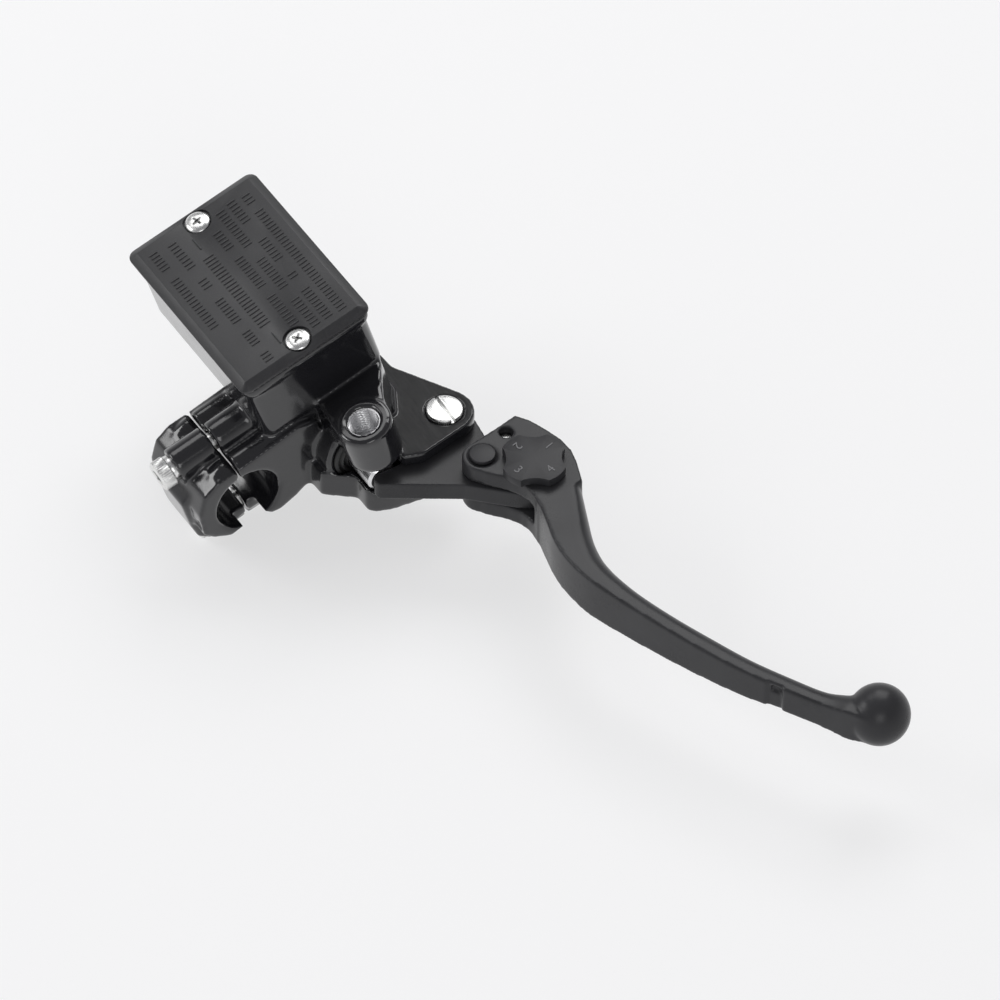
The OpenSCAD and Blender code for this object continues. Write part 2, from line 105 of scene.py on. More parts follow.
PIVOT = in_mm(joints["lever_squeeze"]["pos_m"])
PIN = in_mm(joints["reach_adjust"]["pos_m"])
DIAL = in_mm(joints["dial_turn"]["pos_m"])
# Heights of the lever's middle plane and of the fork's top face
LEVER_MIDDLE = 8.0
FORK_TOP = 17.6


def box_in_mm(node):
    """Lowest and highest corner of a CAD node, in millimetres."""
    low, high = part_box(node)
    return low / MM, high / MM


def tilted_box(node):
    """Corners of a CAD node in the tilted frame, in millimetres."""
    back = TILTED.inverted().to_3x3()
    points = np.array([back @ v.co for v in frame["nodes"][node].data.vertices]) / MM
    return Vector(points.min(0)), Vector(points.max(0))


# ---- mesh tools ----

def link(name, mesh):
    obj = bpy.data.objects.new(name, mesh)
    bpy.context.scene.collection.objects.link(obj)
    return obj


def outward(mesh):
    work = bmesh.new()
    work.from_mesh(mesh)
    bmesh.ops.recalc_face_normals(work, faces=work.faces)
    work.to_mesh(mesh)
    work.free()


def make(name, points, faces, place=UPRIGHT):
    """A mesh object from points in millimetres, moved by place."""
    mesh = bpy.data.meshes.new(name)
    mesh.from_pydata([(place @ Vector(p)) * MM for p in points], [], faces)
    outward(mesh)
    return link(name, mesh)


def lathe(name, profile, origin, axis, steps=96, place=UPRIGHT):
    """A turned part: profile is (distance along the axis, radius)."""
    turn = Vector((0, 0, 1)).rotation_difference(Vector(axis)).to_matrix()
    points, rings = [], []
    for along, radius in profile:
        count = steps if radius > 1e-6 else 1
        rings.append([len(points) + i for i in range(count)])
        for i in range(count):
            a = 2 * math.pi * i / steps
            spot = Vector((radius * math.cos(a), radius * math.sin(a), along))
            points.append(turn @ spot + Vector(origin))
    pairs = list(zip(rings, rings[1:]))
    if profile[0][1] > 1e-6:
        pairs.append((rings[-1], rings[0]))
    faces = []
    for one, two in pairs:
        for i in range(steps):
            k = (i + 1) % steps
            corners = [one[i % len(one)], one[k % len(one)], two[k % len(two)], two[i % len(two)]]
            faces.append(list(dict.fromkeys(corners)))
    return make(name, points, faces, place)


def prism(name, outline, low, high, place=UPRIGHT):
    n = len(outline)
    points = [(x, y, low) for x, y in outline] + [(x, y, high) for x, y in outline]
    faces = [list(range(n - 1, -1, -1)), list(range(n, 2 * n))]
    faces += [[i, (i + 1) % n, n + (i + 1) % n, n + i] for i in range(n)]
    return make(name, points, faces, place)


def block(name, low, high, place=UPRIGHT):
    outline = [(low[0], low[1]), (high[0], low[1]), (high[0], high[1]), (low[0], high[1])]
    return prism(name, outline, low[2], high[2], place)


def round_rect(x0, x1, y0, y1, r, steps=8):
    corners = [(x1 - r, y1 - r, 0), (x0 + r, y1 - r, 90),
               (x0 + r, y0 + r, 180), (x1 - r, y0 + r, 270)]
    outline = []
    for cx, cy, start in corners:
        for i in range(steps + 1):
            a = math.radians(start + 90 * i / steps)
            outline.append((cx + r * math.cos(a), cy + r * math.sin(a)))
    return outline


def loft(name, rings, place=UPRIGHT):
    """A closed skin through rings that have the same number of points."""
    n = len(rings[0])
    points = [p for ring in rings for p in ring]
    faces = [list(range(n)), list(range(len(points) - n, len(points)))]
    for r in range(len(rings) - 1):
        for i in range(n):
            k = (i + 1) % n
            faces.append([r * n + i, r * n + k, (r + 1) * n + k, (r + 1) * n + i])
    return make(name, points, faces, place)


def settle(obj):
    """Applies obj's modifiers."""
    bpy.context.view_layer.update()
    graph = bpy.context.evaluated_depsgraph_get()
    mesh = bpy.data.meshes.new_from_object(obj.evaluated_get(graph))
    obj.modifiers.clear()
    obj.data = mesh
    return obj


def combine(obj, tool, operation):
    step = obj.modifiers.new("combine", "BOOLEAN")
    step.object = tool
    step.operation = operation
    step.solver = "EXACT"
    settle(obj)
    bpy.data.objects.remove(tool)
    return obj


def cut(obj, *tools):
    for tool in tools:
        combine(obj, tool, "DIFFERENCE")
    return obj


def add(obj, *tools):
    for tool in tools:
        combine(obj, tool, "UNION")
    return obj


def join(obj, *others):
    """Puts the others' meshes into obj as separate shells."""
    work = bmesh.new()
    work.from_mesh(obj.data)
    for other in others:
        work.from_mesh(other.data)
        bpy.data.objects.remove(other)
    work.to_mesh(obj.data)
    work.free()
    return obj


def bevel(obj, width, segments=2, angle=30):
    step = obj.modifiers.new("bevel", "BEVEL")
    step.width = width * MM
    step.segments = segments
    step.limit_method = "ANGLE"
    step.angle_limit = math.radians(angle)
    step.use_clamp_overlap = True
    return settle(obj)


def smooth(obj, angle=35):
    obj.data.shade_smooth()
    obj.data.set_sharp_from_angle(angle=math.radians(angle))
    return obj


def copy_of(name, node):
    """An editable, welded copy of a CAD node's mesh."""
    mesh = frame["nodes"][node].data.copy()
    mesh.materials.clear()
    work = bmesh.new()
    work.from_mesh(mesh)
    bmesh.ops.remove_doubles(work, verts=work.verts, dist=0.002 * MM)
    work.to_mesh(mesh)
    work.free()
    return link(name, mesh)


def soften(obj, voxel, rounds, most_faces=180000):
    """Rounds every edge of obj as a casting's are; flat areas stay. voxel is in millimetres."""
    step = obj.modifiers.new("remesh", "REMESH")
    step.mode = "VOXEL"
    step.voxel_size = voxel * MM
    step = obj.modifiers.new("smooth", "SMOOTH")
    step.factor = 0.5
    step.iterations = rounds
    settle(obj)
    triangles = 2 * len(obj.data.polygons)
    if triangles > most_faces:
        step = obj.modifiers.new("thin", "DECIMATE")
        step.ratio = most_faces / triangles
        settle(obj)
    obj.data.shade_smooth()
    return obj


# ---- materials ----

class Paint:
    """A node material whose patterns are read in the piece's own place, in millimetres."""

    def __init__(self, name, colour, roughness, metallic=0.0):
        self.material = bpy.data.materials.new(name)
        self.material.use_nodes = True
        self.tree = self.material.node_tree
        self.shader = self.tree.nodes["Principled BSDF"]
        self.set("Metallic", metallic)
        self.set("Base Color", (*colour, 1))
        self.set("Roughness", roughness)
        self.place = self.node("ShaderNodeTexCoord").outputs["Object"]
        self.normal = None

    def set(self, socket, value):
        self.shader.inputs[socket].default_value = value

    def node(self, kind, **inputs):
        made = self.tree.nodes.new(kind)
        for name, value in inputs.items():
            self.feed(made.inputs[name.replace("_", " ")], value)
        return made

    def feed(self, socket, value):
        if isinstance(value, bpy.types.NodeSocket):
            self.tree.links.new(value, socket)
        else:
            socket.default_value = value

    def stretched(self, scale, turn=(0, 0, 0)):
        """Place coordinates, turned and scaled: at a scale of s, one unit is 1/s millimetre."""
        mapped = self.node("ShaderNodeMapping", Vector=self.place)
        mapped.inputs["Rotation"].default_value = turn
        mapped.inputs["Scale"].default_value = [s / MM for s in scale]
        return mapped.outputs[0]

    def noise(self, size, detail=3.0, where=None, distortion=0.0):
        where = where or self.stretched((1 / size,) * 3)
        made = self.node("ShaderNodeTexNoise", Vector=where, Scale=1.0, Detail=detail,
                         Distortion=distortion)
        return made.outputs["Fac"]

    def remap(self, value, low, high, to_low, to_high):
        made = self.node("ShaderNodeMapRange", Value=value)
        for key, number in (("From Min", low), ("From Max", high),
                            ("To Min", to_low), ("To Max", to_high)):
            made.inputs[key].default_value = number
        return made.outputs[0]

    def math(self, operation, one, two=0.0):
        made = self.tree.nodes.new("ShaderNodeMath")
        made.operation = operation
        self.feed(made.inputs[0], one)
        self.feed(made.inputs[1], two)
        return made.outputs[0]

    def blend(self, share, one, two):
        """A mix of two numbers, in the Mix node's number sockets."""
        made = self.tree.nodes.new("ShaderNodeMix")
        made.data_type = "FLOAT"
        self.feed(made.inputs[0], share)
        self.feed(made.inputs[2], one)
        self.feed(made.inputs[3], two)
        return made.outputs[0]

    def tint(self, share, one, two):
        """A mix of two colours, in the Mix node's colour sockets."""
        made = self.tree.nodes.new("ShaderNodeMix")
        made.data_type = "RGBA"
        self.feed(made.inputs[0], share)
        self.feed(made.inputs[6], one if isinstance(one, bpy.types.NodeSocket) else (*one, 1))
        self.feed(made.inputs[7], (*two, 1))
        return made.outputs[2]

    def bump(self, height, depth, strength=1.0):
        """Adds relief; depth is in millimetres."""
        made = self.node("ShaderNodeBump", Height=height, Strength=strength, Distance=depth * MM)
        if self.normal is not None:
            self.tree.links.new(self.normal, made.inputs["Normal"])
        self.normal = made.outputs[0]

    def height(self, low, high):
        """1 where the place lies between two heights, in millimetres."""
        split = self.node("ShaderNodeSeparateXYZ", Vector=self.place)
        above = self.math("GREATER_THAN", split.outputs[2], low * MM)
        below = self.math("LESS_THAN", split.outputs[2], high * MM)
        return self.math("MULTIPLY", above, below)

    def done(self, colour=None, roughness=None):
        if colour is not None:
            self.tree.links.new(colour, self.shader.inputs["Base Color"])
        if roughness is not None:
            self.tree.links.new(roughness, self.shader.inputs["Roughness"])
        if self.normal is not None:
            self.tree.links.new(self.normal, self.shader.inputs["Normal"])
        return self.material


def casting_paint(ear_low, ear_high):
    """Gloss black paint with orange peel; the ears' top face is machined and anodised."""
    p = Paint("casting_paint", (0.010, 0.010, 0.012), 0.2)
    peel = p.noise(2.2, 2)
    fine = p.noise(0.35, 3)
    dust = p.noise(9, 4)
    gloss = p.remap(dust, 0.35, 0.7, 0.10, 0.20)
    p.set("Coat Roughness", 0.12)
    face = p.node("ShaderNodeNewGeometry").outputs["Normal"]
    up = p.node("ShaderNodeSeparateXYZ", Vector=face).outputs[2]
    flat = p.math("MULTIPLY", p.math("GREATER_THAN", up, 0.97), p.height(ear_low, ear_high))
    marks = p.noise(1, 2, p.stretched((0.16, 3.2, 1), (0, 0, math.radians(24))), 1.2)
    rough = p.blend(flat, gloss, p.remap(marks, 0.3, 0.7, 0.34, 0.56))
    p.feed(p.shader.inputs["Coat Weight"], p.blend(flat, 0.45, 0.0))
    p.feed(p.shader.inputs["Specular IOR Level"], p.blend(flat, 0.5, 0.22))
    colour = p.tint(flat, p.tint(p.remap(fine, 0.3, 0.7, 0, 1),
                                 (0.008, 0.008, 0.010), (0.014, 0.014, 0.016)),
                    (0.010, 0.010, 0.011))
    p.bump(p.math("MULTIPLY", peel, p.math("SUBTRACT", 1.0, flat)), 0.05, 0.6)
    p.bump(fine, 0.008, 0.5)
    p.bump(p.math("MULTIPLY", marks, flat), 0.03, 0.7)
    return p.done(colour, rough)


def cap_plastic():
    """Satin black plastic with the faint swirls of polishing."""
    p = Paint("cap_plastic", (0.022, 0.022, 0.024), 0.4)
    grain = p.noise(0.22, 3)
    drift = p.noise(14, 2)
    swirl = p.noise(1, 3, p.stretched((0.12, 0.12, 0.12)), 5.0)
    lines = p.math("SINE", p.math("MULTIPLY", swirl, 60.0))
    rough = p.math("ADD", p.remap(drift, 0.3, 0.7, 0.36, 0.46), p.remap(lines, -1, 1, -0.03, 0.03))
    colour = p.tint(p.remap(lines, 0.3, 1, 0, 0.7), (0.020, 0.020, 0.022), (0.030, 0.030, 0.032))
    p.bump(grain, 0.012, 0.5)
    p.bump(lines, 0.004, 0.4)
    return p.done(colour, rough)


def anodised(name, colour, roughness, turned_about=None):
    """Satin black anodised aluminium, bead blasted or with a turned face."""
    p = Paint(name, colour, roughness)
    p.set("Specular IOR Level", 0.22)
    blast = p.noise(0.28, 3)
    cloud = p.noise(16, 3)
    rough = p.math("ADD", p.remap(cloud, 0.3, 0.7, roughness - 0.05, roughness + 0.05),
                   p.remap(blast, 0.3, 0.7, -0.02, 0.02))
    lighter = tuple(c * 1.5 for c in colour)
    shade = p.tint(p.remap(cloud, 0.35, 0.7, 0, 0.6), colour, lighter)
    p.bump(blast, 0.010, 0.6)
    if turned_about is not None:
        spot = p.node("ShaderNodeMapping", Vector=p.place)
        spot.inputs["Location"].default_value = [-c * MM for c in turned_about]
        split = p.node("ShaderNodeSeparateXYZ", Vector=spot.outputs[0])
        square = p.math("ADD", p.math("MULTIPLY", split.outputs[0], split.outputs[0]),
                        p.math("MULTIPLY", split.outputs[1], split.outputs[1]))
        rings = p.math("SINE", p.math("MULTIPLY", p.math("SQRT", square), 2 * math.pi / (0.4 * MM)))
        p.bump(rings, 0.006, 0.4)
    return p.done(shade, rough)


def plated(name, colour, roughness, scratch=(0.2, 4, 4)):
    """Bright plated or bare metal with fine scratches."""
    p = Paint(name, colour, roughness, 1.0)
    lines = p.noise(1, 3, p.stretched(scratch, (0.3, 0.2, 0.5)))
    cloud = p.noise(3, 3)
    rough = p.math("ADD", p.remap(lines, 0.3, 0.7, roughness - 0.05, roughness + 0.07),
                   p.remap(cloud, 0.3, 0.7, -0.03, 0.05))
    darker = tuple(c * 0.82 for c in colour)
    shade = p.tint(p.remap(cloud, 0.4, 0.75, 0, 0.6), colour, darker)
    p.bump(lines, 0.005, 0.4)
    return p.done(shade, rough)


def rubber():
    p = Paint("black_rubber", (0.012, 0.012, 0.013), 0.55)
    grain = p.noise(0.4, 3)
    bloom = p.noise(5, 3)
    p.bump(grain, 0.02, 0.5)
    shade = p.tint(p.remap(bloom, 0.4, 0.7, 0, 1), (0.010, 0.010, 0.011), (0.022, 0.022, 0.022))
    return p.done(shade, p.remap(bloom, 0.3, 0.7, 0.48, 0.66))


def moulded(name, colour, roughness):
    p = Paint(name, colour, roughness)
    grain = p.noise(0.3, 3)
    flow = p.noise(6, 2)
    p.bump(grain, 0.012, 0.5)
    darker = tuple(c * 0.8 for c in colour)
    shade = p.tint(p.remap(flow, 0.35, 0.7, 0, 0.7), colour, darker)
    return p.done(shade, p.remap(flow, 0.3, 0.7, roughness - 0.06, roughness + 0.06))


ear_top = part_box("pivot_bolt")[1].z / MM - 1.0
MATERIALS = {
    "casting_paint": casting_paint(ear_top - 0.4, ear_top + 0.2),
    "cap_plastic": cap_plastic(),
    "anodised_lever": anodised("anodised_lever", (0.028, 0.028, 0.030), 0.30),
    "anodised_dial": anodised("anodised_dial", (0.024, 0.024, 0.026), 0.33, DIAL),
    "zinc_steel": plated("zinc_steel", (0.80, 0.80, 0.79), 0.24),
    "spring_steel": plated("spring_steel", (0.30, 0.30, 0.31), 0.32),
    "bare_aluminium": plated("bare_aluminium", (0.74, 0.74, 0.75), 0.28, (0.3, 5, 5)),
    "black_rubber": rubber(),
    "inner_plastic": moulded("inner_plastic", (0.62, 0.60, 0.55), 0.45),
    "switch_plastic": moulded("switch_plastic", (0.018, 0.018, 0.019), 0.42),
    "terminal_brass": plated("terminal_brass", (0.72, 0.55, 0.28), 0.3),
}


def finish_with(obj, slot, body, *nodes):
    """Gives a new piece its material, its body and the CAD nodes it stands for."""
    obj.data.materials.clear()
    obj.data.materials.append(MATERIALS[slot])
    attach(obj, body)
    if nodes:
        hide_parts(*nodes)
    return obj


# ---- camera, light and floor ----

def set_camera():
    """The view that the object is mostly seen in: above and in front of the clamp's end face."""
    azimuth, elevation = math.radians(57.5), math.radians(47.7)
    back = Vector((math.sin(azimuth) * math.cos(elevation),
                   -math.cos(azimuth) * math.cos(elevation), math.sin(elevation)))
    camera = bpy.data.objects.new("camera", bpy.data.cameras.new("camera"))
    bpy.context.scene.collection.objects.link(camera)
    aim, distance = Vector((0.0566, 0.0652, 0)), 2.5
    camera.location = aim + back * distance
    camera.rotation_euler = (math.pi / 2 - elevation, 0, azimuth)
    camera.data.lens = 292.5
    camera.data.sensor_width = 36
    bpy.context.scene.camera = camera


def area_light(name, place, aim, size, watts):
    data = bpy.data.lights.new(name, "AREA")
    data.shape = "RECTANGLE"
    data.size, data.size_y = size
    data.energy = watts
    lamp = bpy.data.objects.new(name, data)
    lamp.location = place
    lamp.rotation_euler = (Vector(aim) - Vector(place)).to_track_quat("-Z", "Y").to_euler()
    bpy.context.scene.collection.objects.link(lamp)


def set_light():
    world = bpy.data.worlds.new("studio")
    world.use_nodes = True
    bpy.context.scene.world = world
    tree = world.node_tree
    sky = tree.nodes["Background"]
    spot = tree.nodes.new("ShaderNodeTexCoord")
    split = tree.nodes.new("ShaderNodeSeparateXYZ")
    ramp = tree.nodes.new("ShaderNodeValToRGB")
    tree.links.new(spot.outputs["Generated"], split.inputs[0])
    tree.links.new(split.outputs[2], ramp.inputs[0])
    tree.links.new(ramp.outputs[0], sky.inputs[0])
    ramp.color_ramp.elements[0].position = 0.05
    ramp.color_ramp.elements[0].color = (0.80, 0.80, 0.81, 1)
    ramp.color_ramp.elements[1].position = 0.55
    ramp.color_ramp.elements[1].color = (0.26, 0.26, 0.27, 1)
    sky.inputs[1].default_value = 1.0
    aim = (0.06, 0.05, 0)
    area_light("key", (-0.7, 0.9, 1.5), aim, (1.1, 1.1), 14)
    area_light("fill", (1.4, -0.6, 1.0), aim, (0.8, 0.8), 5)
    area_light("back", (-0.9, -1.2, 1.1), aim, (0.9, 0.6), 9)
    # seen by the camera as a sheen on the reservoir cap and its screws
    area_light("sheen", (-0.95, -0.04, 1.4), aim, (0.7, 0.7), 3)


def set_floor():
    low = cad_box[0][2] - 0.0005
    reach = 9000
    corners = ((-reach, -reach), (reach, -reach), (reach, reach), (-reach, reach))
    floor = make("floor", [(x, y, low / MM) for x, y in corners], [[0, 1, 2, 3]])
    p = Paint("floor_paper", (0.36, 0.36, 0.365), 0.85)
    p.set("Specular IOR Level", 0.0)
    p.set("Emission Color", (1.0, 1.0, 1.0, 1))
    p.set("Emission Strength", 0.59)
    fibre = p.noise(2, 3)
    p.bump(fibre, 0.01, 0.2)
    floor.data.materials.append(p.done())


set_camera()
set_light()
set_floor()
bpy.context.scene.view_settings.view_transform = "Standard"

# ---- CAD nodes that keep their shape ----

SLOTS = {s["node"]: s["material_slot"] for s in record["subparts"]}
for node, obj in frame["nodes"].items():
    obj.data.materials.clear()
    obj.data.materials.append(MATERIALS[SLOTS[node]])

# ---- cast and machined pieces ----

bolt_low, bolt_high = tilted_box("clamp_bolts")
cap_low, cap_high = tilted_box("reservoir_cap")
screw_low, screw_high = tilted_box("cap_screws")
BOSS = TILTED.inverted() @ in_mm(mounts["mirror_thread"]["pos_m"])
THREAD_R = mounts["mirror_thread"]["dims"]["r_mm"]
THREAD_PITCH = 1.25
THREAD_DEPTH = 0.6
# Room round a piece that runs in a softened casting: soften() narrows a bore by up to 0.07
BORE_ROOM = 0.14


def shoulder_rolls(name, forward):
    """Rounded shoulders beside a clamp screw: straight on the saddle, curved on the cap."""
    roll_r, reach, side = 3.4, 13.6, 10.6
    rolls = []
    for x in (-side, side):
        path = [(0.9 + 17 * i / 8, reach) for i in range(9)]
        if not forward:
            path = [(-reach * math.sin(a), reach * math.cos(a))
                    for a in [0.06 + 1.45 * i / 12 for i in range(13)]]
        rings = []
        for i, (y, z) in enumerate(path):
            y0, z0 = path[max(i - 1, 0)]
            y1, z1 = path[min(i + 1, len(path) - 1)]
            run = Vector((y1 - y0, z1 - z0)).normalized()
            ring = []
            for k in range(20):
                a = 2 * math.pi * k / 20
                out = roll_r * math.sin(a)
                ring.append((x + roll_r * math.cos(a), y - run.y * out, z + run.x * out))
            rings.append(ring)
        rolls.append(loft(name, rings, TILTED))
    return rolls


def cylinder_bore():
    """The space the piston set slides in, from the spring's end to the boot's seat."""
    low, high = box_in_mm("piston")
    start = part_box("return_spring")[0].x / MM
    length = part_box("dust_boot")[0].x / MM - start
    radius = (high.y - low.y) / 2 + BORE_ROOM
    middle = (low + high) / 2
    return lathe("bore", [(0, 0), (0, radius), (length, radius), (length, 0)],
                 (start, middle.y, middle.z), (1, 0, 0), 96)


def make_casting():
    casting = copy_of("casting", "cylinder_body")
    add(casting, copy_of("bowl", "reservoir_bowl"))
    cut(casting, cylinder_bore())
    boss_length = 17.6
    hole_foot = BOSS.z - boss_length / 2 - 1
    hole_r = THREAD_R + THREAD_DEPTH + 0.05
    hole = lathe("hole", [(0, 0), (0, hole_r), (boss_length + 3, hole_r), (boss_length + 3, 0)],
                 (BOSS.x, BOSS.y, hole_foot), (0, 0, 1), 48, TILTED)
    cut(casting, hole)
    add(casting, *shoulder_rolls("roll", True))
    soften(casting, 0.55, 20)
    finish_with(casting, "casting_paint", "housing", "cylinder_body", "reservoir_bowl")


def make_clamp_cap():
    clamp = copy_of("clamp", "clamp_cap")
    add(clamp, *shoulder_rolls("roll", False))
    add(clamp, block("land", (-14.6, -1.5, 11.4), (14.6, 0.3, 14.8), TILTED))
    soften(clamp, 0.45, 24)
    finish_with(clamp, "casting_paint", "housing", "clamp_cap")


def make_mirror_thread():
    """The bare M10 thread: a helical ridge on the wall of the boss."""
    steps, per_turn = 64, 12
    low = BOSS.z - mounts["mirror_thread"]["dims"]["length_mm"] / 2
    rows = int(mounts["mirror_thread"]["dims"]["length_mm"] / THREAD_PITCH * per_turn)
    points, faces = [], []
    for row in range(rows + 1):
        for i in range(steps):
            a = 2 * math.pi * i / steps
            wave = (row / per_turn - i / steps) % 1
            depth = THREAD_DEPTH * min(1, 1.6 * (1 - abs(2 * wave - 1)))
            radius = THREAD_R - 0.02 + depth
            points.append((BOSS.x + radius * math.cos(a), BOSS.y + radius * math.sin(a),
                           low + row * THREAD_PITCH / per_turn))
    outer = len(points)
    for height in (low, low + rows * THREAD_PITCH / per_turn):
        for i in range(steps):
            a = 2 * math.pi * i / steps
            radius = THREAD_R + THREAD_DEPTH + 0.1
            points.append((BOSS.x + radius * math.cos(a), BOSS.y + radius * math.sin(a), height))
    for row in range(rows):
        for i in range(steps):
            k = (i + 1) % steps
            faces.append([row * steps + i, row * steps + k,
                          (row + 1) * steps + k, (row + 1) * steps + i])
    for i in range(steps):
        k = (i + 1) % steps
        faces.append([outer + i, outer + k, outer + steps + k, outer + steps + i])
        faces.append([i, k, outer + k, outer + i])
        faces.append([rows * steps + i, rows * steps + k, outer + steps + k, outer + steps + i])
    thread = make("mirror_thread", points, faces, TILTED)
    smooth(thread, 25)
    finish_with(thread, "bare_aluminium", "housing")


def make_reservoir_cap():
    """The flat cap with mitred bevels and its screw seats; its raised marks are a piece of their own.
    """
    x0, x1, y0, y1 = cap_low.x, cap_high.x, cap_low.y, cap_high.y
    base, top = cap_low.z, cap_high.z
    rim, slope = base + 1.0, 2.8
    rings = []
    for inset, corner, z in ((0.25, 2.8, base), (0, 3.0, base + 0.25),
                             (0, 3.0, rim), (slope, 0.4, top)):
        outline = round_rect(x0 + inset, x1 - inset, y0 + inset, y1 - inset, corner)
        rings.append([(x, y, z) for x, y in outline])
    cap = loft("lid", rings, TILTED)
    wall = 3.6
    pocket = prism("pocket", round_rect(x0 + wall, x1 - wall, y0 + wall, y1 - wall, 3),
                   base - 1, base + 0.8, TILTED)
    cut(cap, pocket)
    seat_r, bore_r = 4.6, 2.2
    for x in screw_places():
        spot = (x, screw_y(), top)
        seat = lathe("seat", [(-1.2, 0), (-1.2, seat_r), (1, seat_r), (1, 0)],
                     spot, (0, 0, 1), 64, TILTED)
        bore = lathe("bore", [(-4, 0), (-4, bore_r), (1, bore_r), (1, 0)],
                     spot, (0, 0, 1), 32, TILTED)
        cut(cap, seat, bore)
    bevel(cap, 0.22, 2, 20)
    smooth(cap, 30)
    finish_with(cap, "cap_plastic", "housing", "reservoir_cap")


def screw_y():
    return (screw_low.y + screw_high.y) / 2


def screw_places():
    head_r = (screw_high.y - screw_low.y) / 2
    return screw_low.x + head_r, screw_high.x - head_r


# Rows of raised marks on the cap: distance from the cap's front edge, height, and the groups' ends
MARK_ROWS = [
    (7.0, 3.0, [(7, 12), (15, 65.5)]),
    (12.0, 3.0, [(6, 17), (25, 36), (42, 45), (50, 65)]),
    (16.5, 3.0, [(7, 25), (31, 46), (51, 65)]),
    (21.5, 3.0, [(13, 22), (26, 41), (45, 60)]),
    (28.5, 3.8, [(19, 54)]),
    (34.5, 3.0, [(7, 20), (25, 30), (35, 47), (51, 58), (61.5, 66)]),
    (41.0, 3.0, [(6, 15), (19, 44)]),
]
MARK_PITCH, MARK_WIDTH, MARK_RELIEF = 1.55, 0.55, 0.28


def make_cap_marks():
    """Plain raised ribs in rows: they stand for the moulded notice and spell nothing."""
    points, faces = [], []

    def rib(x, y, half_x, half_y):
        base, top = cap_high.z - 0.05, cap_high.z + MARK_RELIEF
        first = len(points)
        for z, inset in ((base, 0), (top - 0.1, 0.04), (top, 0.14)):
            for sx, sy in ((-1, -1), (1, -1), (1, 1), (-1, 1)):
                points.append((x + sx * (half_x - inset), y + sy * (half_y - inset), z))
        faces.append([first + i for i in (3, 2, 1, 0)])
        faces.append([first + 8 + i for i in range(4)])
        for level in (0, 4):
            for i in range(4):
                k = (i + 1) % 4
                ring = first + level
                faces.append([ring + i, ring + k, ring + 4 + k, ring + 4 + i])

    for from_front, height, groups in MARK_ROWS:
        y = cap_high.y - from_front
        for start, end in groups:
            count = max(2, round((end - start) / MARK_PITCH))
            for i in range(count):
                x = cap_low.x + start + (i + 0.5) * (end - start) / count
                rib(x, y, MARK_WIDTH / 2, height / 2)
    dash_row = cap_high.y - MARK_ROWS[4][0]
    for middle in (13, 60):
        rib(cap_low.x + middle, dash_row, 2.6, 0.3)
    marks = make("lid_marks", points, faces, TILTED)
    smooth(marks, 25)
    finish_with(marks, "cap_plastic", "housing")


def cross_tool(name, origin, width, span, depth, turn, place):
    """A tapered cross for a Phillips recess, pointing down from origin."""
    arms = []
    for quarter in (0, 90):
        a = math.radians(turn + quarter)
        rings = []
        for z, w, s in ((0.3, width, span), (-depth, width * 0.7, span * 0.35)):
            ring = []
            for sx, sy in ((-1, -1), (1, -1), (1, 1), (-1, 1)):
                x, y = sx * s / 2, sy * w / 2
                ring.append((origin[0] + x * math.cos(a) - y * math.sin(a),
                             origin[1] + x * math.sin(a) + y * math.cos(a), origin[2] + z))
            rings.append(ring)
        arms.append(loft(name, rings, place))
    return arms


def make_cap_screws():
    heads = []
    top = screw_high.z + 0.35
    for x, turn in zip(screw_places(), (12, 40)):
        spot = (x, screw_y(), top)
        profile = [(-12, 0), (-12, 1.95), (-1.25, 1.95), (-1.25, 3.9), (-1.05, 4.0), (-0.75, 3.95),
                   (-0.45, 3.6), (-0.2, 2.9), (-0.05, 1.8), (0, 0)]
        head = lathe("cap_screw", profile, spot, (0, 0, 1), 64, TILTED)
        cut(head, *cross_tool("cross", spot, 0.85, 4.4, 1.0, turn, TILTED))
        bevel(head, 0.06, 2, 35)
        heads.append(head)
    screws = join(*heads)
    screws.name = "cap_screw_pair"
    smooth(screws, 40)
    finish_with(screws, "zinc_steel", "housing", "cap_screws")


